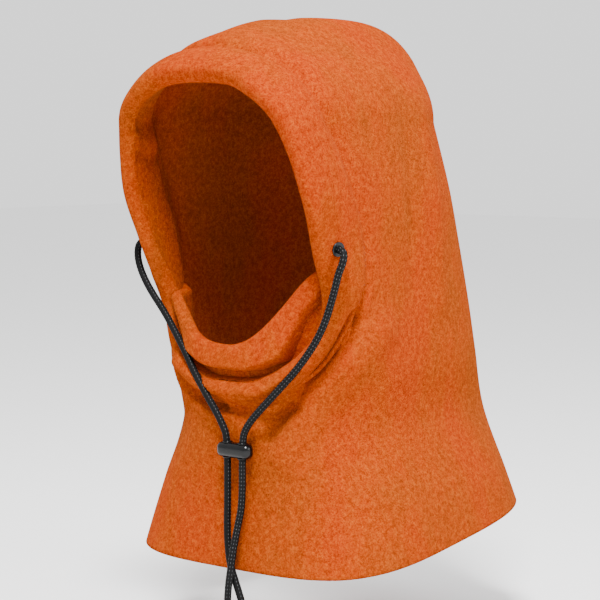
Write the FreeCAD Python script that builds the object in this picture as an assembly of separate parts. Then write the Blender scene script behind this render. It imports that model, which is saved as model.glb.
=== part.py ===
import FreeCAD, Part
import math
import os

from FreeCAD import Vector

# A fleece balaclava with the shape that it has on a wearer: a hood whose face opening has a
# drawcord channel, a neck cape, and a pull-up mask collar inside the opening.
# Millimetres. +Z is up and the wearer faces -Y, so the wearer's left is +X.
# The origin is where the top of the head carries the hood, inside the crown.

# ---------------------------------------------------------------- driving dimensions
CLOTH = 3.0  # thickness of the brushed fleece
LAYER_GAP = 0.2  # air between two layers of cloth sewn together
SHOULDER = -73.0  # height where the walls end and the crown starts to close
CROWN_RISE = 75.0  # from there to the top of the outer skin
RIDGE_FRONT, RIDGE_BACK = -22.0, 46.0  # ends of the crown seam's level stretch
CROWN_ROUND, BROW_ROUND, NAPE_ROUND = 1.55, 1.5, 1.0  # how fast the crown closes at the sides, front and back
HEM_HEIGHT, HEM_SLOPE = -369.0, 0.12  # the hem is cut on a plane that rises to the back

# Level sections of the outer skin: height, half width, front, back, squareness of the front
SECTIONS = [
    (-392, 119, -82, 188, 3.8),
    (-330, 107, -75, 165, 2.8),
    (-285, 88, -77, 161, 2.5),
    (-240, 91, -74, 147, 3.0),
    (-204, 90, -79, 141, 3.4),
    (-154, 90, -109, 128, 4.6),
    (-120, 90, -125, 118, 5.3),
    (SHOULDER, 85, -137, 105, 3.8),
]
BACK_ROUND, BACK_ROUNDER = 2.15, 1.35  # squareness of the back at the shoulder, and its gain at the hem
WIDEST, WIDEST_GAIN = 5.0, 27.0  # y of the widest line at the shoulder, and its gain at the hem

# Lines on the skin, brow to chin: degrees round from the front centre, and height
RIM = [
    (0, -39.5), (15, -40), (27, -43), (38, -54), (45, -70), (48.5, -92), (49.7, -120),
    (49, -146), (47, -170), (45, -193), (40, -213), (29, -231), (15, -242), (0, -244),
]
STITCH_LINE = [
    (0, -21), (16, -22), (31, -25), (44, -32), (54, -46), (61, -75), (65, -110),
    (67.5, -145), (65, -177), (59, -197), (52, -216), (39, -243), (20, -261), (0, -265),
]

CORD = 5.0  # braided drawcord
CHANNEL_DEPTH = 7.0  # free depth of the drawcord channel
FACING = 2.0  # turned-in cloth behind the channel, pressed thinner than the hood
CHANNEL_START, CHANNEL_END = 0.13, 0.86  # the free channel, as shares of the way from rim to stitch line

EYELET_HEIGHT, EYELET_ANGLE = -157.0, math.radians(55.5)
EYELET_HOLE, EYELET_BARREL, EYELET_FLANGE = 5.6, 6.8, 10.0  # diameters
FLANGE_THICK, WASHER_THICK, WASHER_GAP = 1.0, 0.6, 0.4

SLIDER_AT = Vector(9.6, -83.0, -297.5)
SLIDER_LENGTH, SLIDER_DEEP, SLIDER_HIGH = 29.5, 10.0, 10.6
SLIDER_HOLE, SLIDER_PITCH = 5.9, 13.4
KNOT_LONG = 13.0
KNOT_PROFILE = [(0.0, 1.0), (0.14, 1.6), (0.5, 2.3), (0.86, 1.6), (1.0, 1.0)]  # share of its length, and of the cord

MASK_TOP, MASK_RISE = -229.0, 88.0  # height of the top edge at the chin, and its gain at the sides
MASK_SWEEP = 3.2  # how late that gain comes
CHEEK_HEIGHT = -140.0
MASK_CLOTH = 5.0  # two layers
MASK_BOTTOM = -326.0
MASK_REACH = 90.0  # degrees round each side from the chin
MASK_CENTRE_Y = -40.0
MASK_HALF_WIDTH, MASK_ROUND = 62.0, 2.6
MASK_INSIDE, MASK_PROUD = -56.0, -78.0  # front of the mask behind the cape, and above its rim
LEAN_WIDTH, LEAN_FADE, LEAN_LATE = 42.0, 14.0, 22.0  # beyond this width it leans out later, by up to LEAN_LATE
LEAN_OVER = 9.0  # height over which it leans out

STITCH_RADIUS, STITCH_LONG, STITCH_PITCH = 0.4, 3.2, 5.0
WALL_ROWS, CROWN_ROWS, ROUND_STEPS = 14, 8, 20  # grid of a layer of cloth
FENCE_STEPS, FENCE_IN, FENCE_OUT = 36, -16.0, 4.0  # grid and reach of the sheets that cut the cloth
CHANNEL_RUN = 17.0  # spacing of the cord's points inside the channel
SLIDER_EDGE = 3.2
TIP_LONG = 5.0
SEAM_STEPS, SEAM_TOP, SEAM_BOTTOM = 340, -3.0, -336.0
LABEL_HEIGHT, LABEL_WIDE, LABEL_THICK, LABEL_LONG = -262.0, 28.0, 0.5, 34.0


# ---------------------------------------------------------------- the outer skin
def on_curve(rows, column, at):
    """One column of rows at a place given in the rows' first column, on a smooth curve."""
    last = len(rows) - 1
    k = 0
    while k < last - 1 and at > rows[k + 1][0]:
        k += 1

    def slope(i):
        low, high = max(i - 1, 0), min(i + 1, last)
        return (rows[high][column] - rows[low][column]) / (rows[high][0] - rows[low][0])

    span = rows[k + 1][0] - rows[k][0]
    t = (at - rows[k][0]) / span
    rise = rows[k + 1][column] - rows[k][column]
    start, end = slope(k) * span, slope(k + 1) * span
    return rows[k][column] + t * start + t * t * (3 * rise - 2 * start - end) + t ** 3 * (start + end - 2 * rise)


def section(height, grow):
    """Half width, front, back, squareness front and back, and widest y of the skin moved out by grow."""
    low = min(height, SHOULDER)
    wide, front, back, square = (on_curve(SECTIONS, column, low) for column in (1, 2, 3, 4))
    down = (SHOULDER - low) / (SHOULDER - SECTIONS[0][0])
    square_back = BACK_ROUND + BACK_ROUNDER * down
    widest = WIDEST + WIDEST_GAIN * down
    if height <= SHOULDER:
        return wide + grow, front - grow, back + grow, square, square_back, widest
    up = min(1.0, (height - SHOULDER) / (CROWN_RISE + grow))
    left = math.sqrt(1 - up * up)
    front = RIDGE_FRONT - grow + (front - RIDGE_FRONT) * left ** BROW_ROUND
    back = RIDGE_BACK + grow + (back - RIDGE_BACK) * left ** NAPE_ROUND
    square += (2 - square) * up
    widest += ((RIDGE_FRONT + RIDGE_BACK) / 2 - widest) * up
    return (wide + grow) * left ** CROWN_ROUND, front, back, square, square_back, widest


def round_section(wide, front, back, square, square_back, widest, angle):
    """x and y of a section at an angle from the front centre, towards +X."""
    s, c = abs(math.sin(angle)), math.cos(angle)
    n = square if c >= 0 else square_back
    deep = widest - front if c >= 0 else back - widest
    scale = (s ** n + abs(c) ** n) ** (-1.0 / n)
    return math.copysign(wide * s * scale, math.sin(angle)), widest - deep * c * scale


def skin(height, angle, grow=0.0):
    x, y = round_section(*section(height, grow), angle)
    return Vector(x, y, height)


# ---------------------------------------------------------------- solids from grids
def surface(grid):
    made = Part.BSplineSurface()
    made.interpolate(grid)
    return made


def between(outer, inner):
    """Closed solid between two grids of the same size."""
    skins = [surface(outer), surface(inner)]
    faces = [made.toShape() for made in skins]
    u0, u1, v0, v1 = skins[0].bounds()
    borders = [[made.uIso(u0), made.uIso(u1), made.vIso(v0), made.vIso(v1)] for made in skins]
    for outer_curve, inner_curve in zip(*borders):
        faces.append(Part.makeRuledSurface(outer_curve.toShape(), inner_curve.toShape()))
    shell = Part.Shell(faces)
    shell.sewShape()
    solid = Part.Solid(shell)
    if solid.Volume < 0:
        solid.reverse()
    return solid


def heights(grow):
    low = SECTIONS[0][0]
    walls = [low + (SHOULDER - low) * i / WALL_ROWS for i in range(WALL_ROWS + 1)]
    turns = [math.pi / 2 * i / CROWN_ROWS for i in range(1, CROWN_ROWS + 1)]
    return walls + [SHOULDER + (CROWN_RISE + grow) * math.sin(turn) for turn in turns]


def half_layer(outer, inner):
    """The left half of a layer of cloth between two offsets of the skin."""
    grids = []
    for grow in (outer, inner):
        angles = [math.pi * j / ROUND_STEPS for j in range(ROUND_STEPS + 1)]
        grids.append([[skin(height, angle, grow) for angle in angles] for height in heights(grow)])
    return between(*grids)


# ---------------------------------------------------------------- lines on the skin, and cutters
def part_way(share):
    """Line a share of the way from the rim to the stitch line."""
    return [(a + (c - a) * share, b + (d - b) * share) for (a, b), (c, d) in zip(RIM, STITCH_LINE)]


def line_on_skin(points, steps):
    """Angles and heights, evenly along a smooth line that runs a little past the middle at both ends."""
    before, after = points[1], points[-2]
    ends = [(-before[0], before[1])], [(-after[0], after[1])]
    curve = Part.BSplineCurve()
    curve.interpolate([Vector(angle, height, 0) for angle, height in ends[0] + points + ends[1]])
    first, last = curve.FirstParameter, curve.LastParameter
    places = [curve.value(first + (last - first) * i / steps) for i in range(steps + 1)]
    return [(math.radians(place.x), place.y) for place in places]


def outward(height, angle):
    """Unit normal of the skin."""
    turn, rise = 0.02, 1.0
    along = skin(height, angle + turn) - skin(height, angle - turn)
    up = skin(height + rise, angle) - skin(height - rise, angle)
    return along.cross(up).normalize()


def side_points(points, grow, steps=120):
    """Points and normals on the left half of the skin along a line."""
    found = []
    for angle, height in line_on_skin(points, steps):
        if angle >= 0:
            normal = outward(height, angle)
            found.append((skin(height, angle) + normal * grow, normal))
    return found


def fence(points):
    """Sheet that stands on the skin along a line and cuts through the cloth."""
    rows = [[], []]
    for angle, height in line_on_skin(points, FENCE_STEPS):
        normal = outward(height, angle)
        for row, reach in zip(rows, (FENCE_IN, FENCE_OUT)):
            row.append(skin(height, angle) + normal * reach)
    return surface(rows).toShape()


def pieces_between(cloth, lines):
    """The pieces that fences along the lines cut a layer of cloth into."""
    found, _ = cloth.generalFuse([fence(points) for points in lines])
    return found.Solids


def below_hem():
    size = 500.0
    block = Part.makeBox(size, size, size, Vector(-size / 2, -size / 2, HEM_HEIGHT - size))
    block.rotate(Vector(0, 0, HEM_HEIGHT), Vector(1, 0, 0), math.degrees(math.atan(HEM_SLOPE)))
    return block


def drill(point, direction, diameter, start, end):
    """Round bar along a direction, from start to end measured from a point."""
    return Part.makeCylinder(diameter / 2, end - start, point + direction * start, direction)


def mirrored(shape):
    return shape.mirror(Vector(0, 0, 0), Vector(1, 0, 0))


# ---------------------------------------------------------------- cloth
def hood_half(eyelet, normal):
    cloth = max(pieces_between(half_layer(0.0, -CLOTH), [RIM]), key=lambda piece: piece.Volume)
    cloth = cloth.cut(below_hem())
    return cloth.cut(drill(eyelet, normal, EYELET_BARREL, -12, 12))


def band(outer, inner, start, end):
    """Piece of a layer between two lines, each given as a share of the way from rim to stitch line."""
    middle = side_points(part_way((start + end) / 2), 0.0)
    place, normal = middle[len(middle) // 2]
    within = place + normal * (outer + inner) / 2
    for piece in pieces_between(half_layer(outer, inner), [part_way(start), part_way(end)]):
        if piece.isInside(within, 0.01, True):
            return piece
    raise ValueError("no cloth between these lines")


def casing_half():
    """Turned-in rim: the fold, the facing behind the cord, and the strip that is stitched down."""
    top = -CLOTH - LAYER_GAP
    floor = top - CHANNEL_DEPTH
    whole = band(top, floor - FACING, 0.0, 1.0)
    return whole.cut(band(top + 1.0, floor, CHANNEL_START, CHANNEL_END))


def rim_heights():
    """x and height of the rim's lower part, from the chin up to the cheek."""
    points = [point for point, _ in side_points(RIM, 0.0)]
    lower = [(point.x, point.z) for point in reversed(points) if point.z < CHEEK_HEIGHT]
    return lower


def mask_panel():
    """U-shaped collar: it lies inside the cape, and leans out over the cape's rim at the chin."""
    track = rim_heights()
    rows, columns = 22, 28

    def rim_above(x):
        for (x0, z0), (x1, z1) in zip(track, track[1:]):
            if x < x1:
                return z0 + (z1 - z0) * max(0.0, x - x0) / (x1 - x0)
        return track[-1][1]

    def point(row, column, inward):
        angle = math.radians(MASK_REACH) * (2 * column / columns - 1)
        top = MASK_TOP + MASK_RISE * abs(math.sin(angle)) ** MASK_SWEEP
        height = MASK_BOTTOM + (top - MASK_BOTTOM) * row / rows
        wide = MASK_HALF_WIDTH - inward
        back = 2 * MASK_CENTRE_Y - MASK_INSIDE

        def place(front):
            return round_section(wide, front + inward, back, MASK_ROUND, MASK_ROUND, MASK_CENTRE_Y, angle)

        x, low_y = place(MASK_INSIDE)
        high_y = place(MASK_PROUD)[1]
        late = LEAN_LATE * max(0.0, min(1.0, (abs(x) - LEAN_WIDTH) / LEAN_FADE))
        share = (height - rim_above(abs(x)) - late - 1.5) / LEAN_OVER
        share = max(0.0, min(1.0, share))
        share = share * share * (3 - 2 * share)
        return Vector(x, low_y + (high_y - low_y) * share, height)

    grids = [
        [[point(row, column, inward) for column in range(columns + 1)] for row in range(rows + 1)]
        for inward in (0.0, MASK_CLOTH)
    ]
    return between(*grids)


# ---------------------------------------------------------------- cords
def cord_tube(name, route):
    """Straight runs joined by tangent arcs, each as large as its two runs allow."""
    edges = []
    length = 0.0
    here = route[0]
    radii = []
    for before, corner, after in zip(route, route[1:], route[2:]):
        into, out = (corner - before), (after - corner)
        shorter = min(into.Length, out.Length)
        into.normalize()
        out.normalize()
        turn = into.getAngle(out)
        reach = 0.45 * shorter
        radius = reach / math.tan(turn / 2)
        radii.append(radius)
        start, end = corner - into * reach, corner + out * reach
        towards = (out - into).normalize()
        middle = corner + towards * (radius / math.cos(turn / 2) - radius)
        edges.append(Part.makeLine(here, start))
        edges.append(Part.Arc(start, middle, end).toShape())
        length += (start - here).Length + radius * turn
        here = end
    edges.append(Part.makeLine(here, route[-1]))
    length += (route[-1] - here).Length
    path = Part.Wire(edges)
    ring = Part.Wire(Part.makeCircle(CORD / 2, route[0], route[1] - route[0]))
    tube = path.makePipeShell([ring], True, True)
    true_volume = math.pi * CORD ** 2 / 4 * length
    print(f"{name}: {length:.1f} long, radii {', '.join(f'{radius:.0f}' for radius in radii)}")
    print(f"{name}: volume {tube.Volume:.0f} against {true_volume:.0f}, valid {tube.isValid()}")
    return tube


def channel_route(eyelet, normal):
    """Through one eyelet, round the face inside the channel, and out of the other."""
    depth = -CLOTH - LAYER_GAP - CHANNEL_DEPTH / 2
    side = [point for point, _ in side_points(part_way(0.5), depth) if point.z > EYELET_HEIGHT + 12]
    kept = [side[0]]
    for point in side[1:]:
        if (point - kept[-1]).Length > CHANNEL_RUN:
            kept.append(point)
    left = [eyelet, eyelet + normal * depth] + kept[:0:-1]
    right = [Vector(-point.x, point.y, point.z) for point in reversed(left)]
    return left + [Vector(0, kept[0].y, kept[0].z)] + right


def eyelet_parts(place, normal):
    """Ring with a barrel through the cloth, and the washer that it is set against."""
    flange = drill(place, normal, EYELET_FLANGE, 0.0, FLANGE_THICK)
    flange = flange.makeFillet(FLANGE_THICK * 0.45, [flange.Edges[0]])
    inner_face = -CLOTH - WASHER_GAP
    barrel = drill(place, normal, EYELET_BARREL, inner_face - WASHER_THICK, 0.0)
    hole = drill(place, normal, EYELET_HOLE, -12, 12)
    washer = drill(place, normal, EYELET_FLANGE, inner_face - WASHER_THICK, inner_face)
    return flange.fuse(barrel).cut(hole), washer.cut(drill(place, normal, EYELET_BARREL, -12, 12))


def slider_body():
    """Bean-shaped stopper with two holes, one for each strand."""
    straight = SLIDER_LENGTH - SLIDER_DEEP
    half = SLIDER_DEEP / 2
    low = SLIDER_AT - Vector(0, 0, SLIDER_HIGH / 2)
    body = Part.makeBox(straight, SLIDER_DEEP, SLIDER_HIGH, low - Vector(straight / 2, half, 0))
    for side in (-1, 1):
        body = body.fuse(Part.makeCylinder(half, SLIDER_HIGH, low + Vector(side * straight / 2, 0, 0)))
    body = body.removeSplitter()
    rims = [edge for edge in body.Edges if abs(edge.BoundBox.ZMax - edge.BoundBox.ZMin) < 0.01]
    body = body.makeFillet(SLIDER_EDGE, rims)
    for side in (-1, 1):
        centre = low + Vector(side * SLIDER_PITCH / 2, 0, -1)
        body = body.cut(Part.makeCylinder(SLIDER_HOLE / 2, SLIDER_HIGH + 2, centre))
    return body


def knot(route):
    """Rounded knot that starts at the end of a cord, with the sealed tip standing out below."""
    along = (route[-1] - route[-2]).normalize()
    neck = CORD / 2
    belly = Part.BSplineCurve()
    belly.interpolate([Vector(neck * wide, 0, KNOT_LONG * share) for share, wide in KNOT_PROFILE])
    profile = [
        Part.makeLine(Vector(0, 0, 0), Vector(neck, 0, 0)),
        belly.toShape(),
        Part.makeLine(Vector(neck, 0, KNOT_LONG), Vector(neck, 0, KNOT_LONG + TIP_LONG)),
        Part.makeLine(Vector(neck, 0, KNOT_LONG + TIP_LONG), Vector(0, 0, KNOT_LONG + TIP_LONG)),
        Part.makeLine(Vector(0, 0, KNOT_LONG + TIP_LONG), Vector(0, 0, 0)),
    ]
    shape = Part.Face(Part.Wire(profile)).revolve(Vector(0, 0, 0), Vector(0, 0, 1), 360)
    shape = Part.Solid(shape) if shape.ShapeType != "Solid" else shape
    shape.Placement = FreeCAD.Placement(route[-1], FreeCAD.Rotation(Vector(0, 0, 1), along))
    return shape


def stitches(points):
    """Short threads laid end to end along evenly walked points."""
    threads = []
    walked = 0.0
    for (a, _), (b, _) in zip(points, points[1:]):
        walked += (b - a).Length
        if walked >= STITCH_PITCH:
            walked = 0.0
            direction = (b - a).normalize()
            threads.append(Part.makeCylinder(STITCH_RADIUS, STITCH_LONG, b, direction))
    return Part.makeCompound(threads)


def centre_seam():
    """Points just inside the skin along the crown and the middle of the back, brow to hem."""
    points = []
    grow = STITCH_RADIUS + 0.3
    for i in range(SEAM_STEPS + 1):
        height = SEAM_TOP + (SEAM_BOTTOM - SEAM_TOP) * i / SEAM_STEPS
        points.append(skin(height, math.pi, grow))
    ridge = SHOULDER + CROWN_RISE + grow
    top = [Vector(0, y, ridge) for y in range(int(RIDGE_FRONT), int(RIDGE_BACK))]
    return [(point, None) for point in top + points]


def care_label():
    """Blank label that hangs from the back seam inside the neck."""
    wall = skin(LABEL_HEIGHT, math.pi, -CLOTH - 1.0)
    size = Vector(LABEL_WIDE, LABEL_THICK, LABEL_LONG)
    return Part.makeBox(*size, wall - Vector(LABEL_WIDE / 2, LABEL_THICK, LABEL_LONG))


# ---------------------------------------------------------------- routes of the two free strands
# From the eyelet's face, down in front of the cloth, through the slider, to the knot
LEFT_ROUTE = [
    (87.5, -67.1, -157.1), (91, -67.8, -157.6), (93.4, -68.9, -160.6), (93.2, -70.3, -166),
    (90.3, -71.2, -173), (88, -71.3, -181.5), (84, -71, -193), (79, -71.5, -207), (71, -73, -222),
    (59.5, -76, -238), (46, -79.5, -253), (34.5, -82, -265), (25, -83.3, -275), (19.6, -83.1, -281.8),
    (16.3, -83, -289), (16.3, -83, -334), (13.5, -84.5, -349), (12.6, -88, -364), (12.2, -91, -379),
    (10.6, -92, -394), (9.6, -91.5, -409), (9, -90.5, -425),
]
RIGHT_ROUTE = [
    (-87.5, -67.1, -157.1), (-91, -67.8, -157.6), (-93.9, -68.8, -160.4), (-94, -70, -166.5),
    (-92, -70.6, -174), (-87.6, -70.9, -182.5), (-80, -71, -193), (-67, -71, -207), (-54.5, -73, -221),
    (-41.5, -76, -235), (-30.5, -79, -248), (-19.5, -81, -260), (-8.5, -82.5, -271.5), (-1.8, -83, -280.5),
    (2.9, -83, -289), (2.9, -83, -334), (2, -82.6, -348), (3.6, -84, -363), (7.2, -85.5, -378),
    (14, -86, -392), (20, -86.8, -405), (23.5, -87.5, -419),
]


def vectors(route):
    return [Vector(*point) for point in route]


# ---------------------------------------------------------------- the parts
def main():
    place, normal = skin(EYELET_HEIGHT, EYELET_ANGLE), outward(EYELET_HEIGHT, EYELET_ANGLE)
    parts = {}

    def pair(name, left):
        parts[name + "_left"] = left
        parts[name + "_right"] = mirrored(left)

    pair("hood_half", hood_half(place, normal))
    pair("casing", casing_half())
    stitched = [spot for spot in side_points(STITCH_LINE, STITCH_RADIUS + 0.1, 900) if spot[0].x > STITCH_LONG]
    pair("casing_stitches", stitches(stitched))
    eyelet, washer = eyelet_parts(place, normal)
    pair("eyelet", eyelet)
    pair("eyelet_washer", washer)
    parts["centre_seam_stitches"] = stitches(centre_seam())
    parts["care_label"] = care_label()
    parts["mask_panel"] = mask_panel()

    parts["drawcord_channel"] = cord_tube("drawcord_channel", channel_route(place, normal))
    for side, route in (("left", vectors(LEFT_ROUTE)), ("right", vectors(RIGHT_ROUTE))):
        parts["drawcord_" + side] = cord_tube("drawcord_" + side, route)
        parts["knot_" + side] = knot(route)
    parts["cord_slider"] = slider_body()

    os.makedirs("parts", exist_ok=True)
    for name, shape in parts.items():
        shape.exportStep(f"parts/{name}.step")
        print(f"{name}: {len(shape.Solids)} solids, valid {shape.isValid()}, {shape.Volume:.0f} mm3")
    return parts


made = main()
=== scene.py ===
import math

import bmesh
import bpy
import numpy as np
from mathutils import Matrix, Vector


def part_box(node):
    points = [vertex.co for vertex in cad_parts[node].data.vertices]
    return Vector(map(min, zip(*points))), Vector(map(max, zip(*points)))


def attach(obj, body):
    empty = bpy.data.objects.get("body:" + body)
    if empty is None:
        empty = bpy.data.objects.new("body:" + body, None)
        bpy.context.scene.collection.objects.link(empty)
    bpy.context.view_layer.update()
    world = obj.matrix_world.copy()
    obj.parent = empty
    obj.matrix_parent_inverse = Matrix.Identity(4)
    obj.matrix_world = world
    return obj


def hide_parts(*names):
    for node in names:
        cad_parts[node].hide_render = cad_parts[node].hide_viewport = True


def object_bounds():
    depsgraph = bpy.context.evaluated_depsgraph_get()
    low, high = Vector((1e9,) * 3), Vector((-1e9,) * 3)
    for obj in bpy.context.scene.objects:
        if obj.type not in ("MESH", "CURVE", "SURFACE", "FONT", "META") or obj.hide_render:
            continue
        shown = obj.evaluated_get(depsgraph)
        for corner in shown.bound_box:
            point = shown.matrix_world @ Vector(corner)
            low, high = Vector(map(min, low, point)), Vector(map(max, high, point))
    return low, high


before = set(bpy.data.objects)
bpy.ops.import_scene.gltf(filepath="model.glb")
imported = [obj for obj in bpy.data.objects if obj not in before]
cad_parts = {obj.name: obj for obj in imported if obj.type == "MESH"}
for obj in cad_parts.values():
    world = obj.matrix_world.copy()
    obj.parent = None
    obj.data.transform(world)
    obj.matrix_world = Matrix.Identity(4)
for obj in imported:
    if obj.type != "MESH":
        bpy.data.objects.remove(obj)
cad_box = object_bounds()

# A fleece balaclava, worn shape. The wearer faces -Y, the wearer's left is +X.
# Sizes below are in millimetres, as in the design, and MM turns them into metres.
MM = 0.001

# ---------------------------------------------------------------- the cloth's own skin
SHOULDER, CROWN_RISE = -73.0, 75.0
RIDGE_FRONT, RIDGE_BACK = -22.0, 46.0
CROWN_ROUND, BROW_ROUND, NAPE_ROUND = 1.55, 1.5, 1.0
HEM_HEIGHT, HEM_SLOPE = -372.0, 0.12
# height, half width, front, back, squareness of the front
SECTIONS = np.array([
    (-392, 119, -82, 188, 3.8),
    (-330, 107, -75, 165, 2.8),
    (-285, 88, -77, 161, 2.5),
    (-240, 91, -74, 147, 3.0),
    (-204, 90, -79, 141, 3.4),
    (-154, 90, -109, 128, 4.6),
    (-120, 90, -125, 118, 5.3),
    (SHOULDER, 85, -137, 105, 3.8),
])
BACK_ROUND, BACK_ROUNDER = 2.15, 1.35
WIDEST, WIDEST_GAIN = 5.0, 27.0
# Lines on the skin, brow to chin: degrees round from the front centre, and height
RIM = [
    (0, -39.5), (15, -40), (27, -43), (38, -54), (45, -70), (48.5, -92), (49.7, -120),
    (49, -146), (47, -170), (45, -193), (40, -214), (29, -234), (15, -246), (0, -248),
]
STITCH_LINE = [
    (0, -21), (16, -22), (31, -25), (44, -32), (54, -46), (61, -75), (65, -110),
    (67.5, -145), (65, -177), (59, -197), (52, -216), (39, -244), (20, -264), (0, -268),
]
ROLL = 12.2  # thickness of the folded rim, cord channel included
CLOTH = 2.6

# Free strands, from the eyelet's face, through the slider, to the knot
LEFT_ROUTE = [
    (87.5, -67.1, -157.1), (91, -67.8, -157.6), (93.4, -68.9, -160.6), (93.2, -70.3, -166),
    (90.3, -71.2, -173), (88, -71.3, -181.5), (84, -71, -193), (79, -71.5, -207), (71, -73, -222),
    (59.5, -76, -238), (46, -79.5, -253), (34.5, -82, -265), (25, -83.3, -275), (19.6, -83.1, -281.8),
    (16.3, -83, -289), (16.3, -83, -334), (13.5, -84.5, -349), (12.6, -88, -364), (12.2, -91, -379),
    (10.6, -92, -394), (9.6, -91.5, -409), (9, -90.5, -425),
]
RIGHT_ROUTE = [
    (-87.5, -67.1, -157.1), (-91, -67.8, -157.6), (-93.9, -68.8, -160.4), (-94, -70, -166.5),
    (-92, -70.6, -174), (-87.6, -70.9, -182.5), (-80, -71, -193), (-67, -71, -207), (-54.5, -73, -221),
    (-41.5, -76, -235), (-30.5, -79, -248), (-19.5, -81, -260), (-8.5, -82.5, -271.5), (-1.8, -83, -280.5),
    (2.9, -83, -289), (2.9, -83, -334), (2, -82.6, -348), (3.6, -84, -363), (7.2, -85.5, -378),
    (14, -86, -392), (20, -86.8, -405), (23.5, -87.5, -419),
]
CORD = 5.0


# ---------------------------------------------------------------- camera, floor and light
AIM = Vector((0, 0, -0.2))  # metres, the middle of the hood
AZIMUTH, ELEVATION, DISTANCE = math.radians(39), math.radians(5), 1.4


def make_camera():
    data = bpy.data.cameras.new("camera")
    data.lens, data.sensor_width = 116.7, 36.0
    data.clip_end = 20.0
    camera = bpy.data.objects.new("camera", data)
    bpy.context.collection.objects.link(camera)
    level = math.cos(ELEVATION)
    back = Vector((math.sin(AZIMUTH) * level, -math.cos(AZIMUTH) * level, math.sin(ELEVATION)))
    camera.location = AIM + back * DISTANCE
    camera.rotation_euler = back.to_track_quat("Z", "Y").to_euler()
    bpy.context.scene.camera = camera


def area_light(name, place, size, power):
    data = bpy.data.lights.new(name, "AREA")
    data.shape, data.size, data.energy = "SQUARE", size, power
    light = bpy.data.objects.new(name, data)
    light.location = place
    light.rotation_euler = (Vector(place) - AIM).to_track_quat("Z", "Y").to_euler()
    bpy.context.collection.objects.link(light)


def make_set():
    """Pale floor and soft studio light: white all round, a key high in front, and a weak one at the left."""
    bpy.ops.mesh.primitive_plane_add(size=12, location=(0, 0, cad_box[0][2] - 0.004))
    floor = bpy.context.object
    floor.name = "floor"
    floor.data.materials.append(plain_material("floor_paper", (0.93, 0.93, 0.93), 0.9))
    world = bpy.data.worlds.new("studio")
    world.use_nodes = True
    sky = world.node_tree.nodes["Background"]
    sky.inputs["Color"].default_value = (1, 1, 1, 1)
    sky.inputs["Strength"].default_value = 1.45
    bpy.context.scene.world = world
    area_light("key", (0.55, -0.8, 1.3), 0.45, 95)
    area_light("side", (1.5, 0.1, 0.4), 0.8, 16)


# ---------------------------------------------------------------- materials
def new_material(name):
    material = bpy.data.materials.new(name)
    material.use_nodes = True
    return material, material.node_tree.nodes, material.node_tree.links


def plain_material(name, colour, roughness):
    material, nodes, _ = new_material(name)
    shader = nodes["Principled BSDF"]
    shader.inputs["Base Color"].default_value = (*colour, 1)
    shader.inputs["Roughness"].default_value = roughness
    return material


def noise(nodes, links, coords, scale, detail=2.0, rough=0.5, stretch=None):
    """A noise texture in object space. scale is in features per metre."""
    if stretch:
        mapping = nodes.new("ShaderNodeMapping")
        mapping.inputs["Scale"].default_value = stretch
        links.new(coords, mapping.inputs["Vector"])
        coords = mapping.outputs["Vector"]
    texture = nodes.new("ShaderNodeTexNoise")
    texture.inputs["Scale"].default_value = scale
    texture.inputs["Detail"].default_value = detail
    texture.inputs["Roughness"].default_value = rough
    links.new(coords, texture.inputs["Vector"])
    return texture.outputs["Fac"]


def ramp(nodes, links, value, stops):
    node = nodes.new("ShaderNodeValToRGB")
    elements = node.color_ramp.elements
    elements[0].position, elements[0].color = stops[0][0], (*stops[0][1], 1)
    elements[1].position, elements[1].color = stops[-1][0], (*stops[-1][1], 1)
    for position, colour in stops[1:-1]:
        elements.new(position).color = (*colour, 1)
    links.new(value, node.inputs["Fac"])
    return node.outputs["Color"]


def mix(nodes, links, kind, amount, first, second):
    node = nodes.new("ShaderNodeMix")
    node.data_type = "RGBA"
    node.blend_type = kind
    if isinstance(amount, float):
        node.inputs["Factor"].default_value = amount
    else:
        links.new(amount, node.inputs["Factor"])
    links.new(first, node.inputs["A"])
    links.new(second, node.inputs["B"])
    return node.outputs["Result"]


def bump(nodes, links, height, distance, strength, normal=None):
    node = nodes.new("ShaderNodeBump")
    node.inputs["Distance"].default_value = distance
    node.inputs["Strength"].default_value = strength
    links.new(height, node.inputs["Height"])
    if normal:
        links.new(normal, node.inputs["Normal"])
    return node.outputs["Normal"]


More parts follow.
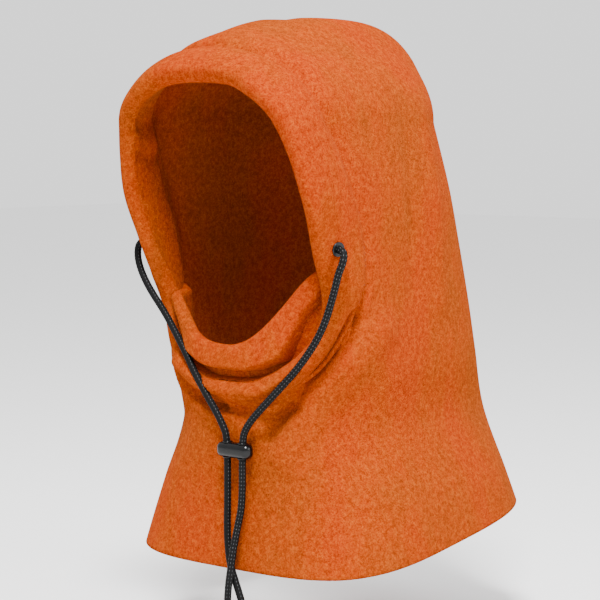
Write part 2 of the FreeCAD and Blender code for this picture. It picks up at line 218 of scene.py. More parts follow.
def fleece_material():
    """Heather fleece: orange fibres with tan and red ones brushed into each other, napped and matt."""
    material, nodes, links = new_material("fleece")
    shader = nodes["Principled BSDF"]
    coords = nodes.new("ShaderNodeTexCoord").outputs["Object"]
    clouds = noise(nodes, links, coords, 11, 4, 0.6, (1.0, 1.0, 0.5))
    tufts = noise(nodes, links, coords, 300, 4, 0.7)
    fibres = noise(nodes, links, coords, 900, 3, 0.7)
    strands = noise(nodes, links, coords, 420, 2, 0.6, (1.0, 1.0, 0.25))
    wide = ramp(nodes, links, clouds, [
        (0.41, (0.26, 0.011, 0.0001)), (0.5, (0.22, 0.025, 0.0006)), (0.59, (0.135, 0.033, 0.004)),
    ])
    small = ramp(nodes, links, tufts, [
        (0.36, (0.10, 0.010, 0.0003)), (0.5, (0.24, 0.027, 0.0006)), (0.64, (0.36, 0.070, 0.006)),
    ])
    fine = ramp(nodes, links, fibres, [
        (0.36, (0.09, 0.009, 0.0003)), (0.5, (0.24, 0.027, 0.0006)), (0.64, (0.39, 0.082, 0.009)),
    ])
    colour = mix(nodes, links, "MIX", 0.55, wide, small)
    colour = mix(nodes, links, "MIX", 0.36, colour, fine)
    links.new(colour, shader.inputs["Base Color"])
    normal = bump(nodes, links, tufts, 0.0012, 0.55)
    normal = bump(nodes, links, strands, 0.0006, 0.5, normal)
    normal = bump(nodes, links, fibres, 0.0004, 0.7, normal)
    links.new(normal, shader.inputs["Normal"])
    shader.inputs["Roughness"].default_value = 0.95
    shader.inputs["Specular IOR Level"].default_value = 0.0
    shader.inputs["Sheen Weight"].default_value = 0.06
    shader.inputs["Sheen Roughness"].default_value = 0.5
    shader.inputs["Sheen Tint"].default_value = (1.0, 0.35, 0.12, 1)
    return material


def braid_material():
    """Black braided polyester, with grey painted highlights on the crossings that the tube marks in an
    attribute.
    """
    material, nodes, links = new_material("braided_cord")
    shader = nodes["Principled BSDF"]
    coords = nodes.new("ShaderNodeTexCoord")
    # the tube's attribute marks where the painted highlights go, on the braid's crossings
    painted_glint = nodes.new("ShaderNodeAttribute")
    painted_glint.attribute_name = "painted_glint"
    thread = noise(nodes, links, coords.outputs["Object"], 1500, 3, 0.7)
    speckle = ramp(nodes, links, thread, [(0.3, (0.25, 0.25, 0.25)), (0.7, (1.0, 1.0, 1.0))])
    # black cord, turned grey by the painted highlights where the attribute is high
    stops = [(0.35, (0.0015, 0.0016, 0.0018)), (0.9, (0.09, 0.092, 0.096))]
    black_with_painted_glint = ramp(nodes, links, painted_glint.outputs["Fac"], stops)
    colour = mix(nodes, links, "MULTIPLY", 1.0, black_with_painted_glint, speckle)
    links.new(colour, shader.inputs["Base Color"])
    links.new(bump(nodes, links, thread, 0.0003, 0.5), shader.inputs["Normal"])
    shader.inputs["Roughness"].default_value = 0.7
    shader.inputs["Specular IOR Level"].default_value = 0.12
    return material


def moulded_material(name, colour, roughness, grain=0.00015):
    """Moulded or coated surface: fine grain, and faint marks in its colour and its roughness."""
    material, nodes, links = new_material(name)
    shader = nodes["Principled BSDF"]
    coords = nodes.new("ShaderNodeTexCoord").outputs["Object"]
    skin_grain = noise(nodes, links, coords, 900, 3, 0.6)
    marks = noise(nodes, links, coords, 160, 4, 0.7)
    rough = nodes.new("ShaderNodeMapRange")
    spans = {"From Min": 0.3, "From Max": 0.7, "To Min": roughness - 0.07, "To Max": roughness + 0.1}
    for socket, value in spans.items():
        rough.inputs[socket].default_value = value
    links.new(marks, rough.inputs["Value"])
    links.new(rough.outputs["Result"], shader.inputs["Roughness"])
    dark = tuple(c * 0.75 for c in colour)
    links.new(ramp(nodes, links, marks, [(0.35, dark), (0.65, colour)]), shader.inputs["Base Color"])
    links.new(bump(nodes, links, skin_grain, grain, 0.5), shader.inputs["Normal"])
    shader.inputs["Specular IOR Level"].default_value = 0.22
    return material


def enamel_material():
    """Black enamel on brass."""
    material = moulded_material("enamelled_metal", (0.03, 0.031, 0.034), 0.3)
    shader = material.node_tree.nodes["Principled BSDF"]
    shader.inputs["Metallic"].default_value = 0.85
    return material


def thread_material():
    material, nodes, links = new_material("sewing_thread")
    shader = nodes["Principled BSDF"]
    coords = nodes.new("ShaderNodeTexCoord").outputs["Object"]
    ply = noise(nodes, links, coords, 2600, 2, 0.6)
    stops = [(0.35, (0.14, 0.012, 0.0004)), (0.65, (0.28, 0.032, 0.002))]
    links.new(ramp(nodes, links, ply, stops), shader.inputs["Base Color"])
    links.new(bump(nodes, links, ply, 0.0002, 0.6), shader.inputs["Normal"])
    shader.inputs["Roughness"].default_value = 0.7
    return material


def label_material():
    material, nodes, links = new_material("woven_label")
    shader = nodes["Principled BSDF"]
    coords = nodes.new("ShaderNodeTexCoord").outputs["Object"]
    weave = nodes.new("ShaderNodeTexWave")
    weave.inputs["Scale"].default_value = 700
    weave.bands_direction = "Z"
    links.new(coords, weave.inputs["Vector"])
    stops = [(0.2, (0.62, 0.60, 0.56)), (0.8, (0.84, 0.83, 0.80))]
    links.new(ramp(nodes, links, weave.outputs["Fac"], stops), shader.inputs["Base Color"])
    links.new(bump(nodes, links, weave.outputs["Fac"], 0.0002, 0.5), shader.inputs["Normal"])
    shader.inputs["Roughness"].default_value = 0.75
    return material


# ---------------------------------------------------------------- geometry of the skin
def on_curve(at):
    """SECTIONS' columns at some heights, on smooth curves through its rows."""
    z, values = SECTIONS[:, 0], SECTIONS[:, 1:]
    slopes = np.empty_like(values)
    slopes[1:-1] = (values[2:] - values[:-2]) / (z[2:] - z[:-2])[:, None]
    slopes[0] = (values[1] - values[0]) / (z[1] - z[0])
    slopes[-1] = (values[-1] - values[-2]) / (z[-1] - z[-2])
    k = np.clip(np.searchsorted(z, at, side="right") - 1, 0, len(z) - 2)
    span = (z[k + 1] - z[k])[:, None]
    t = (at - z[k])[:, None] / span
    rise = values[k + 1] - values[k]
    start, end = slopes[k] * span, slopes[k + 1] * span
    return values[k] + t * start + t ** 2 * (3 * rise - 2 * start - end) + t ** 3 * (start + end - 2 * rise)


def skin(height, angle, grow=0.0):
    """Points of the skin, moved out level by grow; arrays of heights and of angles in radians."""
    height, angle = np.broadcast_arrays(np.asarray(height, float), np.asarray(angle, float))
    shape = height.shape
    height, angle = height.ravel(), angle.ravel()
    low = np.minimum(height, SHOULDER)
    wide, front, back, square = on_curve(low).T
    down = (SHOULDER - low) / (SHOULDER - SECTIONS[0, 0])
    square_back = BACK_ROUND + BACK_ROUNDER * down
    widest = WIDEST + WIDEST_GAIN * down
    up = np.clip((height - SHOULDER) / (CROWN_RISE + grow), 0, 1)
    left = np.sqrt(1 - up * up)
    crown = height > SHOULDER
    wide = (wide + grow) * np.where(crown, left ** CROWN_ROUND, 1)
    front = np.where(crown, RIDGE_FRONT - grow + (front - RIDGE_FRONT) * left ** BROW_ROUND, front - grow)
    back = np.where(crown, RIDGE_BACK + grow + (back - RIDGE_BACK) * left ** NAPE_ROUND, back + grow)
    square = square + (2 - square) * up
    widest = widest + ((RIDGE_FRONT + RIDGE_BACK) / 2 - widest) * up
    s, c = np.abs(np.sin(angle)), np.cos(angle)
    n = np.where(c >= 0, square, square_back)
    deep = np.where(c >= 0, widest - front, back - widest)
    scale = (s ** n + np.abs(c) ** n) ** (-1 / n)
    x = np.sign(np.sin(angle)) * wide * s * scale
    return np.stack([x, widest - deep * c * scale, height], -1).reshape(*shape, 3)


def normals_of(height, angle):
    turn, rise = 0.02, 1.0
    along = skin(height, angle + turn) - skin(height, angle - turn)
    up = skin(np.minimum(height + rise, SHOULDER + CROWN_RISE), angle) - skin(height - rise, angle)
    normal = np.cross(along, up)
    return normal / np.linalg.norm(normal, axis=-1, keepdims=True)


def smooth_line(points, steps):
    """Smooth curve through a line's points, at right angles to the hood's middle at both ends."""
    points = np.array(points, float)
    before, after = points[1] * (-1, 1), points[-2] * (-1, 1)
    line = np.vstack([before, points, after])
    u = np.linspace(0, len(points) - 1, steps)
    k = np.minimum(u.astype(int), len(points) - 2)
    t = (u - k)[:, None]
    a, b, c, d = line[k], line[k + 1], line[k + 2], line[k + 3]
    square, cube = 2 * a - 5 * b + 4 * c - d, 3 * b - a - 3 * c + d
    return 0.5 * (2 * b + (c - a) * t + square * t ** 2 + cube * t ** 3)


FINE = 600
RIM_FINE, STITCH_FINE = smooth_line(RIM, FINE), smooth_line(STITCH_LINE, FINE)


def part_way(share):
    """Angles in radians and heights along the line a share of the way from the rim to the stitch line."""
    line = RIM_FINE + (STITCH_FINE - RIM_FINE) * share
    return np.radians(line[:, 0]), line[:, 1]


def distance_to(points, path):
    """Distance from each point to a path of straight runs."""
    nearest = np.full(points.shape[:-1], np.inf)
    for a, b in zip(path, path[1:]):
        run = b - a
        t = np.clip(((points - a) @ run) / (run @ run), 0, 1)
        nearest = np.minimum(nearest, np.linalg.norm(points - a - t[..., None] * run, axis=-1))
    return nearest


EYELET = skin(-157.0, math.radians(55.5))
STITCH_PATH = skin(STITCH_FINE[::12, 1], np.radians(STITCH_FINE[::12, 0]))
RIM_PATH = skin(RIM_FINE[::12, 1], np.radians(RIM_FINE[::12, 0]))

# Folds of the worn cloth: route of the crest or valley, width, and height (a valley is negative)
FOLDS = [
    ([(-52, -68, -242), (-24, -76, -255), (0, -77, -258), (26, -76, -258), (52, -68, -244)], 7.5, 5.5),
    ([(-34, -75, -264), (0, -78, -272), (32, -76, -276), (50, -68, -266)], 4.5, -6.5),
    ([(84, -45, -206), (75, -53, -226), (64, -60, -243), (50, -68, -262), (32, -76, -286)], 6.5, -8.0),
    ([(90, -20, -215), (80, -46, -240), (62, -62, -268), (45, -74, -300)], 13.0, 4.5),
    ([(90, 10, -60), (91, 12, -120), (92, 15, -190)], 9.0, -2.0),
    ([(86, 40, -70), (88, 45, -130), (90, 48, -200)], 10.0, 2.0),
    ([(-92, -20, -262), (-84, -50, -275), (-60, -72, -290)], 10.0, -3.0),
]


CHANNEL_ROLL, STITCH_GROOVE, BEHIND_ROLL = 3.4, 3.0, 2.5  # the padded rim, its groove, the cloth behind
CHANNEL_WIDEST, CHANNEL_FADE = 46.0, 10.0  # rim to stitch line across the channel, and its margin
EYELET_FLAT = 7.5  # radius of the flat cloth round an eyelet
SEAM_GROOVE, CROWN_GROOVE, LOBE, LOBE_AT = 1.6, 6.0, 5.5, 27.0


def bell(distance, width):
    return np.exp(-(distance / width) ** 2)


def seam_dip(points):
    """The centre seam pulls the crown and the back into a groove between two soft lobes."""
    x = np.abs(points[..., 0])
    on_top = np.clip((points[..., 2] + 90) / 60, 0, 1) * np.clip((points[..., 1] + 66) / 45, 0, 1)
    behind = (points[..., 1] > 0).astype(float)
    dip = -SEAM_GROOVE * bell(x, 4.0) * np.clip(behind + on_top, 0, 1)
    return dip + on_top * (-CROWN_GROOVE * bell(x, 10.0) + LOBE * bell(x - LOBE_AT, 19.0))


def relief(points):
    """How far the worn cloth stands out from the plain skin: rolled channel, stitch groove, folds and seam.

    The channel and its groove are the same on both halves, and the cloth lies flat round the eyelets.
    """
    folded = np.concatenate([np.abs(points[..., :1]), points[..., 1:]], -1)
    from_stitch = distance_to(folded, STITCH_PATH)
    from_rim = distance_to(folded, RIM_PATH)
    share = from_rim / (from_rim + from_stitch + 1e-6)
    width = from_rim + from_stitch
    in_channel = np.clip((CHANNEL_WIDEST - width) / CHANNEL_FADE, 0, 1)
    out = CHANNEL_ROLL * np.sin(math.pi * share) ** 0.8 * in_channel
    out -= STITCH_GROOVE * bell(from_stitch, 3.2)
    behind = np.clip(from_stitch / 10, 0, 1) * bell(from_stitch, 30.0) * (1 - in_channel)
    out += BEHIND_ROLL * behind * np.clip((points[..., 2] + 120) / 80, 0, 1)
    for route, width, height in FOLDS:
        out += height * bell(distance_to(points, np.array(route, float)), width)
    flat = 1 - np.exp(-(np.linalg.norm(folded - EYELET, axis=-1) / EYELET_FLAT) ** 4)
    return out * flat + seam_dip(points)


# ---------------------------------------------------------------- meshes
def make_piece(name, vertices, faces, material):
    mesh = bpy.data.meshes.new(name)
    mesh.from_pydata([tuple(v) for v in np.asarray(vertices) * MM], [], faces)
    mesh.validate()
    mesh.polygons.foreach_set("use_smooth", [True] * len(mesh.polygons))
    piece = bpy.data.objects.new(name, mesh)
    bpy.context.collection.objects.link(piece)
    mesh.materials.append(material)
    return piece


def grid_faces(rows, columns, offset=0, closed=False, flip=False):
    """Faces of a grid of vertices, closed into a tube if asked; offset is its first vertex's number."""
    faces = []
    for i in range(rows - 1):
        low, high = offset + i * columns, offset + (i + 1) * columns
        for j in range(columns if closed else columns - 1):
            k = (j + 1) % columns
            face = (low + j, low + k, high + k, high + j)
            faces.append(face[::-1] if flip else face)
    return faces


def weld(piece):
    """Join the halves along the middle, and thin out the rows crowded along the crown's ridge."""
    mesh = bmesh.new()
    mesh.from_mesh(piece.data)
    bmesh.ops.remove_doubles(mesh, verts=mesh.verts, dist=0.25 * MM)
    ridge = [v for v in mesh.verts if abs(v.co.x) < 2 * MM and v.co.z > -2 * MM]
    bmesh.ops.remove_doubles(mesh, verts=ridge, dist=1.2 * MM)
    bmesh.ops.dissolve_degenerate(mesh, edges=mesh.edges, dist=0.02 * MM)
    mesh.to_mesh(piece.data)
    mesh.free()


def thicken(piece, thickness, offset=-1.0):
    modifier = piece.modifiers.new("cloth", "SOLIDIFY")
    modifier.thickness = thickness * MM
    modifier.offset = offset


LEVEL_SCALE = 92.0  # millimetres of level for each radian of the crown's turn
TOP_LEVEL = LEVEL_SCALE * math.pi / 2


def level_of(height):
    """Height measured from the shoulder, stretched above it so that even steps follow the crown's curve."""
    turn = np.arcsin(np.clip((height - SHOULDER) / CROWN_RISE, 0, 1))
    return np.where(height <= SHOULDER, height - SHOULDER, turn * LEVEL_SCALE)


def height_of(level):
    crown = CROWN_RISE * np.sin(np.clip(level / LEVEL_SCALE, 0, math.pi / 2))
    return SHOULDER + np.where(level <= 0, level, crown)


def hem_height(angle):
    """Height of the sloping hem at some angles, found by a few rounds of substitution."""
    height = np.full_like(angle, HEM_HEIGHT)
    for _ in range(4):
        height = HEM_HEIGHT + HEM_SLOPE * skin(height, angle)[..., 1]
    return height


FOLD_SHARE = 0.16  # where the rim starts to fold in, as a share of the way from the rim to the stitch line
ROWS, COLUMNS = 230, 92  # grid of one half of the hood
ENDS = 59  # points along the middle below the chin, and as many above the brow
CORD_CLEAR = 0.7  # from a strand to the cloth that it presses in


def front_border():
    """Rows up the front of the left half: hem, chin, round the rim's fold, brow, crown.

    Returns their angles, levels and shares of the way up, the chin's and the brow's row, and each row's
    place along the rim, counted in its fine points.
    """
    angle, height = part_way(FOLD_SHARE)
    angle, height = angle[::-1], height[::-1]
    low = np.linspace(hem_height(np.zeros(1))[0], height[0], ENDS + 1)[:-1]
    top = height_of(np.linspace(level_of(height[-1]), TOP_LEVEL, ENDS + 1))[1:]
    angles = np.concatenate([np.zeros(ENDS), angle, np.zeros(ENDS)])
    heights = np.concatenate([low, height, top])
    along = skin(heights, angles)
    reach = np.concatenate([[0], np.cumsum(np.linalg.norm(np.diff(along, axis=0), axis=1))])
    chin, brow = reach[ENDS], reach[ENDS + FINE - 1]
    marks = np.linspace(0, reach[-1], ROWS)
    first, last = np.argmin(np.abs(marks - chin)), np.argmin(np.abs(marks - brow))
    marks = np.concatenate([
        np.linspace(0, chin, first + 1)[:-1], np.linspace(chin, brow, last - first + 1)[:-1],
        np.linspace(brow, reach[-1], ROWS - last),
    ])
    share = marks / reach[-1]
    u = np.interp(marks, reach[ENDS:ENDS + FINE], np.arange(FINE - 1, -1, -1))
    return np.interp(marks, reach, angles), np.interp(marks, reach, level_of(heights)), share, first, last, u


def hood_half():
    """Points and normals of the left half's grid, the rows that border the rim, and their places on it."""
    angle0, level0, share, first, last, u = front_border()
    t = np.linspace(0, 1, COLUMNS)
    t = 0.55 * t + 0.45 * t ** 1.6  # closer columns near the rim
    back_low = level_of(hem_height(np.array([math.pi])))[0]
    level1 = back_low + (TOP_LEVEL - back_low) * share
    angle = angle0[:, None] + (math.pi - angle0[:, None]) * t
    level = level0[:, None] + (level1 - level0)[:, None] * t
    hem = level_of(hem_height(angle[0]))
    near_hem = np.clip(1 - share / 0.25, 0, 1) ** 2
    level = level + (hem - level[0])[None] * near_hem[:, None]
    height = height_of(level)
    points = skin(height, angle)
    normal = np.cross(np.gradient(points, axis=1), np.gradient(points, axis=0))
    normal /= np.linalg.norm(normal, axis=-1, keepdims=True) + 1e-9
    middle = np.abs(points[..., 0]) < 0.05
    normal[middle, 0] = 0
    normal /= np.linalg.norm(normal, axis=-1, keepdims=True) + 1e-9
    normal[-1] = (0, 0, 1)
    return points, normal, first, last, u


def turned_rim(u, mirror):
    """The fold round the drawcord channel, and the facing back to the stitch line, for the rim's rows."""
    fold = np.radians(np.linspace(0, 180, 13))[1:]
    shares = [FOLD_SHARE - FOLD_SHARE * math.sin(a) for a in fold]
    depths = [ROLL / 2 * (math.cos(a) - 1) for a in fold]
    outer = [(1 + math.cos(a)) / 2 for a in fold]
    back = np.linspace(0, 1, 15)[1:]
    shares += [FOLD_SHARE + (0.99 - FOLD_SHARE) * v for v in back]
    closing = [max(0, (v - 0.72) / 0.28) ** 2 for v in back]  # the facing comes up to its stitches
    sag = [1.6 * math.sin(math.pi * v) for v in back]
    depths += [-ROLL - s + (ROLL - CLOTH - 0.8) * c for s, c in zip(sag, closing)]
    outer += [0.0] * len(back)
    columns, fine = [], np.arange(FINE)
    for share, depth, keep in zip(shares, depths, outer):
        angles, heights = part_way(share)
        a, h = np.interp(u, fine, angles), np.interp(u, fine, heights)
        base, normal = skin(h, a), normals_of(h, a)
        normal[a < 1e-4, 0] = 0
        place = base * (-1, 1, 1) if mirror else base
        lift = depth + keep * relief(place)
        if share > 0.05 and keep == 0.0:
            lift = lift + wrinkles(base, mirror)
        columns.append(base + normal * lift[:, None])
    return np.stack(columns, 1)


def wrinkles(base, mirror):
    """Two short creases inside the rim on the wearer's right, and a soft one on the left."""
    creases = [(-72, 5, 1.8), (-96, 5, 1.8), (-84, 6, -1.2)] if mirror else [(-110, 8, 1.0)]
    return sum(lift * bell(base[:, 2] - height, width) for height, width, lift in creases)


def make_hood(strands):
    """The hood's cloth. strands are the left and right cords' lines, which press into it where they lie."""
    points, normal, first, last, u = hood_half()
    rows, columns = points.shape[:2]
    vertices, faces = [], []
    for mirror in (False, True):
        sign = np.array((-1 if mirror else 1, 1, 1))
        placed = points * sign
        outer = placed + normal * sign * relief(placed)[..., None]
        for _ in range(2):  # the second pass mends what the first leaves on a slope
            dent = np.clip(CORD / 2 + CORD_CLEAR - distance_to(outer, strands[mirror]), 0, 6)
            outer = outer - normal * sign * dent[..., None]
        offset = sum(len(v) for v in vertices)
        vertices.append(outer.reshape(-1, 3))
        faces += grid_faces(rows, columns, offset, flip=mirror)
        rim = turned_rim(u[first:last + 1], mirror) * sign
        rim = np.concatenate([outer[first:last + 1, :1], rim], axis=1)
        offset += len(vertices[-1])
        vertices.append(rim.reshape(-1, 3))
        faces += grid_faces(rim.shape[0], rim.shape[1], offset, flip=not mirror)
    hood = make_piece("hood_cloth", np.vstack(vertices), faces, materials["fleece"])
    weld(hood)
    thicken(hood, CLOTH)
    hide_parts("hood_half_left", "hood_half_right", "casing_left", "casing_right")
    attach(hood, "root")


# ---------------------------------------------------------------- mask collar
MASK_BOTTOM, MASK_TOP = -324.0, -225.5
LEFT_HIGHEST, RIGHT_HIGHEST = -168.0, -188.0
# How its top edge climbs on each cheek: width, gain at that width, and power
LEFT_CLIMB, RIGHT_CLIMB = (62.0, 53.0, 1.9), (60.0, 26.0, 2.6)
MASK_CENTRE_Y, MASK_HALF_WIDTH, MASK_ROUND = -41.0, 63.0, 2.6
MASK_INSIDE, MASK_PROUD = -56.5, -80.5
MASK_EDGE = 4.2  # radius of the rolled top edge
MASK_FLARE, FLARE_BOTTOM = 16.0, -262.0  # how far its ends turn out to meet the rim, above this height
LEAN_HEIGHT = 6.5  # height over which the collar leans out over the chin's rim
LEAN_WIDTH, LEAN_FADE = 42.0, 14.0  # beyond this width it leans out later,
LEFT_LATE, RIGHT_LATE = 20.0, 8.0  # by up to this much
BULGE, BULGE_RISE, BULGE_REACH = 3.0, 9.0, 12.0  # roundness above the rim
FACING_DROP, FACING_LEAN = 66.0, 14.0  # the inner layer's length, and how far it falls back
MASK_CLOTH = 2.2


def eased(share):
    share = np.clip(share, 0, 1)
    return share * share * (3 - 2 * share)


def mask_place(angle, front, inward, height=MASK_TOP):
    """x and y of the collar at an angle from the chin, with its front at y = front, moved in by inward."""
    s, c = np.abs(np.sin(angle)), np.cos(angle)
    deep = MASK_CENTRE_Y - front - inward
    scale = (s ** MASK_ROUND + np.abs(c) ** MASK_ROUND) ** (-1 / MASK_ROUND)
    flare = MASK_FLARE * eased((s - 0.65) / 0.35) * eased((height - FLARE_BOTTOM) / 45)
    wide = (MASK_HALF_WIDTH - inward) * s * scale + flare
    return np.sign(np.sin(angle)) * wide, MASK_CENTRE_Y - deep * c * scale


def make_mask():
    """Doubled collar: up the outside, over a plump top edge, and down the inside."""
    rim = skin(RIM_FINE[:, 1], np.radians(RIM_FINE[:, 0]))
    low = rim[rim[:, 2] < -140][::-1]
    angle = np.radians(np.linspace(-90, 90, 141))
    x, _ = mask_place(angle, MASK_INSIDE, 0)
    climbs = [gain * (np.abs(x) / wide) ** power for wide, gain, power in (LEFT_CLIMB, RIGHT_CLIMB)]
    climb = np.where(x > 0, *climbs)
    most = np.where(x > 0, LEFT_HIGHEST, RIGHT_HIGHEST) - MASK_TOP
    top = MASK_TOP + climb / (1 + (climb / most) ** 6) ** (1 / 6)
    edge = np.interp(np.abs(x), low[:, 0], low[:, 2])
    late = np.where(x > 0, LEFT_LATE, RIGHT_LATE) * np.clip((np.abs(x) - LEAN_WIDTH) / LEAN_FADE, 0, 1)
    rows = []
    for v in np.linspace(0, 1, 80):
        height = MASK_BOTTOM + (top - MASK_EDGE - MASK_BOTTOM) * v
        share = eased((height - edge - late - 0.5) / LEAN_HEIGHT)
        crown = np.sqrt(np.clip(1 - ((height - edge - BULGE_RISE) / BULGE_REACH) ** 2, 0, 1))
        bulge = BULGE * crown * np.clip(1 - late / 12, 0, 1)
        front = MASK_INSIDE + (MASK_PROUD - MASK_INSIDE) * share - bulge * share
        x, y = mask_place(angle, front, 0, height)
        rows.append(np.stack([x, y, height], -1))
    for turn in np.radians(np.linspace(0, 180, 15))[1:]:
        x, y = mask_place(angle, front, MASK_EDGE * (1 - math.cos(turn)), top)
        rows.append(np.stack([x, y, top - MASK_EDGE + MASK_EDGE * math.sin(turn)], -1))
    for v in np.linspace(0, 1, 20)[1:]:
        drop = FACING_DROP * v
        x, y = mask_place(angle, front + FACING_LEAN * v, 2 * MASK_EDGE, top - drop)
        rows.append(np.stack([x, y, top - MASK_EDGE - drop], -1))
    points = np.stack(rows)
    faces = grid_faces(len(rows), len(angle))
    mask = make_piece("mask_cloth", points.reshape(-1, 3), faces, materials["fleece"])
    thicken(mask, MASK_CLOTH)
    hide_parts("mask_panel")
    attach(mask, "mask")


# ---------------------------------------------------------------- cords
def route_spline(route, name):
    """Points of the smooth curve that has the route's points as its control points."""
    curve = bpy.data.curves.new(name, "CURVE")
    curve.dimensions = "3D"
    spline = curve.splines.new("NURBS")
    spline.points.add(len(route) - 1)
    for point, place in zip(spline.points, route):
        point.co = (*(c * MM for c in place), 1)
    spline.order_u = 3
    spline.use_endpoint_u = True
    spline.resolution_u = 16
    guide = bpy.data.objects.new(name, curve)
    bpy.context.collection.objects.link(guide)
    bpy.context.view_layer.update()
    line = bpy.data.meshes.new_from_object(guide)
    points = np.array([v.co[:] for v in line.vertices]) / MM
    bpy.data.objects.remove(guide)
    bpy.data.meshes.remove(line)
    return points


def even_points(points, step):
    """Points at even steps along a line, and how far along it each one is."""
    reach = np.concatenate([[0], np.cumsum(np.linalg.norm(np.diff(points, axis=0), axis=1))])
    marks = np.linspace(0, reach[-1], max(2, int(round(reach[-1] / step)) + 1))
    return np.stack([np.interp(marks, reach, points[:, k]) for k in range(3)], -1), marks


AROUND, BRAID_STEP = 32, 0.42  # vertices round a braided tube, and the spacing of its rings
PLAIT_LENGTH, PLAITS = 5.2, 8  # lay of the braid along the cord, and its strands each way


def braided_tube(name, points, radius=CORD / 2):
    """Tube whose surface is woven: strands run both ways round it and pass over and under.

    Returns the piece and its centre line.
    """
    line, marks = even_points(points, BRAID_STEP)
    tangents = np.gradient(line, axis=0)
    tangents /= np.linalg.norm(tangents, axis=1, keepdims=True)
    side = np.cross(tangents[0], (0.3, 1, 0.2))
    side /= np.linalg.norm(side)
    turn = np.arange(AROUND) / AROUND * 2 * math.pi
    rings, painted_glints = [], []
    for place, tangent, along in zip(line, tangents, marks):
        side = side - tangent * (side @ tangent)
        side /= np.linalg.norm(side)
        other = np.cross(tangent, side)
        lay = along * 2 * math.pi / PLAIT_LENGTH
        a, b = np.sin(turn * PLAITS / 2 + lay), np.sin(turn * PLAITS / 2 - lay)
        over = a * b
        crest = np.abs(a) * 0.5 + np.abs(b) * 0.5
        r = radius * (0.955 + 0.075 * crest + 0.02 * over)
        rings.append(place + r[:, None] * (np.cos(turn)[:, None] * side + np.sin(turn)[:, None] * other))
        # painted highlights: the crossings on two bands round the tube are marked to be coloured grey
        painted_glints.append(np.clip((over - 0.35) / 0.5, 0, 1) * (np.sin(turn * 2 + 0.6) > -0.2))
    vertices = np.vstack(rings)
    faces = grid_faces(len(line), AROUND, closed=True)
    faces += [tuple(range(AROUND))[::-1], tuple(range((len(line) - 1) * AROUND, len(line) * AROUND))]
    piece = make_piece(name, vertices, faces, materials["braid"])
    attribute = piece.data.attributes.new("painted_glint", "FLOAT", "POINT")
    attribute.data.foreach_set("value", np.concatenate(painted_glints).astype(np.float32))
    return piece, line


KNOT_SIZE = 1.05  # scale of the loop
KNOT_DROP, TIP_END = 6.2, 17.5  # the loop's centre and the tip, below the strand's end


def make_knot(side, route):
    """Overhand knot in the cord's end: a pulled-up trefoil loop, with the cord's sealed tip below."""
    end, before = np.array(route[-1], float), np.array(route[-2], float)
    down = (end - before) / np.linalg.norm(end - before)
    across = np.cross(down, (0, 1, 0))
    across /= np.linalg.norm(across)
    other = np.cross(down, across)
    t = np.linspace(0.12, 2 * math.pi - 0.12, 90)
    x = KNOT_SIZE * (np.sin(t) + 2 * np.sin(2 * t))
    y = KNOT_SIZE * (np.cos(t) - 2 * np.cos(2 * t))
    z = -KNOT_SIZE * 1.5 * np.sin(3 * t)
    place = end + down * KNOT_DROP
    loop = place + x[:, None] * across + y[:, None] * other + z[:, None] * down
    piece, _ = braided_tube("knot_loop_" + side, loop, radius=CORD / 2 * 0.95)
    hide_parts("knot_" + side)
    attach(piece, "root")
    tip_line = np.stack([end, end + down * TIP_END])
    tip, _ = braided_tube("cord_tip_" + side, tip_line, radius=CORD / 2 * 0.97)
    tip.parent = piece
    return piece, tip


def make_cords():
    """Both free strands with their knots. Returns their centre lines, left and right."""
    lines = []
    for side, route in (("left", LEFT_ROUTE), ("right", RIGHT_ROUTE)):
        points = route_spline(route, "route_" + side)
        cord, line = braided_tube("drawcord_braid_" + side, points)
        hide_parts("drawcord_" + side)
        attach(cord, "root")
        knot_piece, tip = make_knot(side, route)
        lines.append(line[::8])
    return lines


# ---------------------------------------------------------------- small pieces
SLIDER_AT = (9.6, -83.0, -297.5)
SLIDER_LONG, SLIDER_DEEP, SLIDER_HIGH, SLIDER_PITCH = 29.5, 10.0, 10.6, 13.4
SLIDER_ROUND = 4.2  # radius of its top and bottom edges
LIP, LIP_THICK = 3.05, 0.55  # radius of the lip round each hole, and of its own section
LIP_ACROSS, LIP_AROUND = 20, 10


def lip_round(centre):
    """Vertices and faces of a lip round a hole that points along Z."""
    vertices, faces = [], []
    for i in range(LIP_ACROSS):
        a = 2 * math.pi * i / LIP_ACROSS
        for j in range(LIP_AROUND):
            b = 2 * math.pi * j / LIP_AROUND
            r = LIP + LIP_THICK * math.cos(b)
            place = (r * math.cos(a), r * math.sin(a), LIP_THICK * math.sin(b))
            vertices.append(tuple(c + p for c, p in zip(centre, place)))
            k, m = (i + 1) % LIP_ACROSS, (j + 1) % LIP_AROUND
            ring, after = i * LIP_AROUND, k * LIP_AROUND
            faces.append((ring + j, after + j, after + m, ring + m))
    return vertices, faces


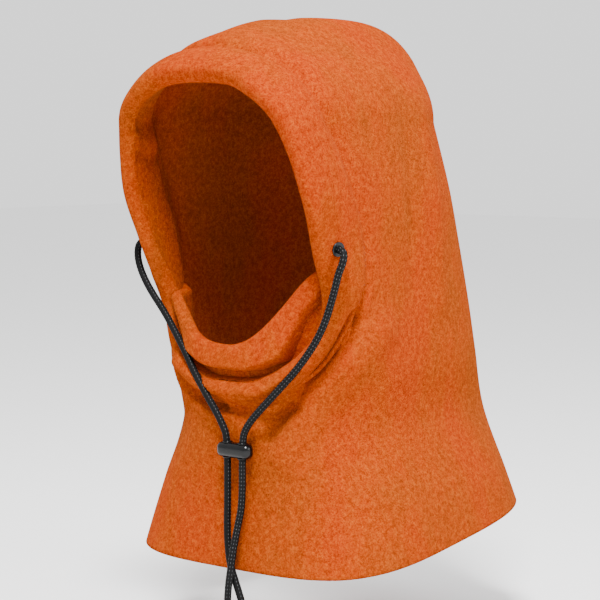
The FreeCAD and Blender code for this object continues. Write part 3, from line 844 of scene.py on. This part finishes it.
def make_slider():
    """Moulded stopper, rounded all over, with a lip round each hole at the top and bottom."""
    turn = np.linspace(0, 2 * math.pi, 72, endpoint=False)
    straight = (SLIDER_LONG - SLIDER_DEEP) / 2
    side_step = straight * np.sign(np.cos(turn)) * np.minimum(1, np.abs(np.cos(turn)) * 6)
    rows = []
    for tilt in np.radians(np.linspace(-90, 90, 25)):
        z = math.copysign(SLIDER_HIGH / 2 - SLIDER_ROUND, tilt) + SLIDER_ROUND * math.sin(tilt)
        r = SLIDER_DEEP / 2 - SLIDER_ROUND * (1 - math.cos(tilt))
        x = r * np.cos(turn) + side_step
        rows.append(np.stack([x, r * np.sin(turn), np.full_like(x, z)], -1))
    vertices = list(np.vstack(rows) + np.array(SLIDER_AT))
    around, last = len(turn), (len(rows) - 1) * len(turn)
    faces = grid_faces(len(rows), around, closed=True)
    faces += [tuple(range(around))[::-1], tuple(range(last, last + around))]
    for side in (-1, 1):
        for end in (-1, 1):
            x, y, z = SLIDER_AT
            lip, lip_faces = lip_round((x + side * SLIDER_PITCH / 2, y, z + end * SLIDER_HIGH / 2))
            faces += [tuple(len(vertices) + v for v in face) for face in lip_faces]
            vertices += lip
    slider = make_piece("cord_slider_moulding", vertices, faces, materials["moulded"])
    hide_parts("cord_slider")
    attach(slider, "slider")


def finish_cad_nodes():
    """Materials of the CAD parts that stay as they are."""
    looks = {"drawcord_channel": "channel_cord"}
    for side in ("left", "right"):
        looks["eyelet_" + side] = looks["eyelet_washer_" + side] = "enamel"
    for node, look in looks.items():
        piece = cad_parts[node]
        piece.data.materials.clear()
        piece.data.materials.append(materials[look])


def surface_at(height, angle, mirror, lift):
    """Points on the worn cloth, lifted off it."""
    base = skin(height, angle)
    normal = normals_of(height, angle)
    place = base * (-1, 1, 1) if mirror else base
    out = base + normal * (relief(place) + lift)[:, None]
    return out * (-1, 1, 1) if mirror else out


THREAD, STITCH, STITCH_PITCH = 0.38, 3.0, 4.2  # radius of the thread, length and spacing of its stitches
THREAD_SIDES, SEAM_STEPS, SEAM_BOTTOM = 6, 300, -340.0
CASING_LIFT, SEAM_LIFT = -0.15, 0.15  # how far the threads lie above the cloth


def thread_row(name, line, node):
    """Stitches laid end to end along a line of points, each a short thread that thins to both ends."""
    even, marks = even_points(line, 0.6)
    vertices, faces = [], []
    ring = np.arange(THREAD_SIDES) / THREAD_SIDES * 2 * math.pi
    for start in np.arange(int(marks[-1] / STITCH_PITCH)) * STITCH_PITCH:
        run = even[(marks >= start) & (marks <= start + STITCH)]
        tangent = run[-1] - run[0]
        tangent /= np.linalg.norm(tangent)
        side = np.cross(tangent, (0.1, 0.2, 1.0))
        side /= np.linalg.norm(side)
        other = np.cross(tangent, side)
        offset = len(vertices)
        swell = np.sin(np.linspace(0.35, math.pi - 0.35, len(run)))
        around = np.cos(ring)[:, None] * side + np.sin(ring)[:, None] * other
        for place, r in zip(run, swell):
            vertices += list(place + THREAD * r * around)
        last = len(vertices) - THREAD_SIDES
        faces += grid_faces(len(run), THREAD_SIDES, offset, closed=True)
        faces += [tuple(range(offset, offset + THREAD_SIDES))[::-1], tuple(range(last, last + THREAD_SIDES))]
    piece = make_piece(name, vertices, faces, materials["thread"])
    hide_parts(node)
    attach(piece, "root")


def make_stitches():
    """Stitches of both casings, and of the centre seam up the back and forward along the crown's ridge."""
    line = STITCH_FINE[2:-2:3]
    for side, mirror in (("left", False), ("right", True)):
        points = surface_at(line[:, 1], np.radians(line[:, 0]), mirror, CASING_LIFT)
        thread_row("casing_thread_" + side, points, "casing_stitches_" + side)
    level = np.linspace(level_of(np.array(SEAM_BOTTOM)), TOP_LEVEL * 0.97, SEAM_STEPS)  # short of the ridge
    back = surface_at(height_of(level), np.full(SEAM_STEPS, math.pi), False, SEAM_LIFT) * (0, 1, 1)
    y = np.linspace(RIDGE_BACK, RIDGE_FRONT, 60)
    ridge = np.stack([0 * y, y, np.full_like(y, SHOULDER + CROWN_RISE)], -1)
    ridge[:, 2] += relief(ridge) + SEAM_LIFT
    thread_row("centre_seam_thread", np.vstack([back, ridge[1:]]), "centre_seam_stitches")


def make_label():
    """Blank woven tape, sewn into the back seam at its top and curling towards its free end."""
    (x0, y0, z0), (x1, _, z1) = np.array(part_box("care_label")) / MM
    rows, columns = 20, 16
    vertices = []
    for z in np.linspace(z1, z0, rows):
        share = (z1 - z) / (z1 - z0)
        for x in np.linspace(x0, x1, columns):
            wave = math.sin(2.2 * (x - x0) / (x1 - x0) * math.pi)
            vertices.append((x, y0 - 2.5 * share ** 2 - 0.8 * wave * share, z))
    label = make_piece("care_label_tape", vertices, grid_faces(rows, columns), materials["label"])
    thicken(label, 0.5, 0.0)
    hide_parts("care_label")
    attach(label, "root")


# ---------------------------------------------------------------- the scene
make_camera()
materials = {
    "fleece": fleece_material(),
    "braid": braid_material(),
    "thread": thread_material(),
    "label": label_material(),
    "enamel": enamel_material(),
    "moulded": moulded_material("moulded_nylon", (0.0015, 0.0016, 0.0018), 0.2),
    "channel_cord": moulded_material("channel_cord", (0.02, 0.021, 0.023), 0.65, 0.0004),
}
strands = make_cords()
make_set()
make_hood(strands)
make_mask()
make_stitches()
make_label()
make_slider()
finish_cad_nodes()
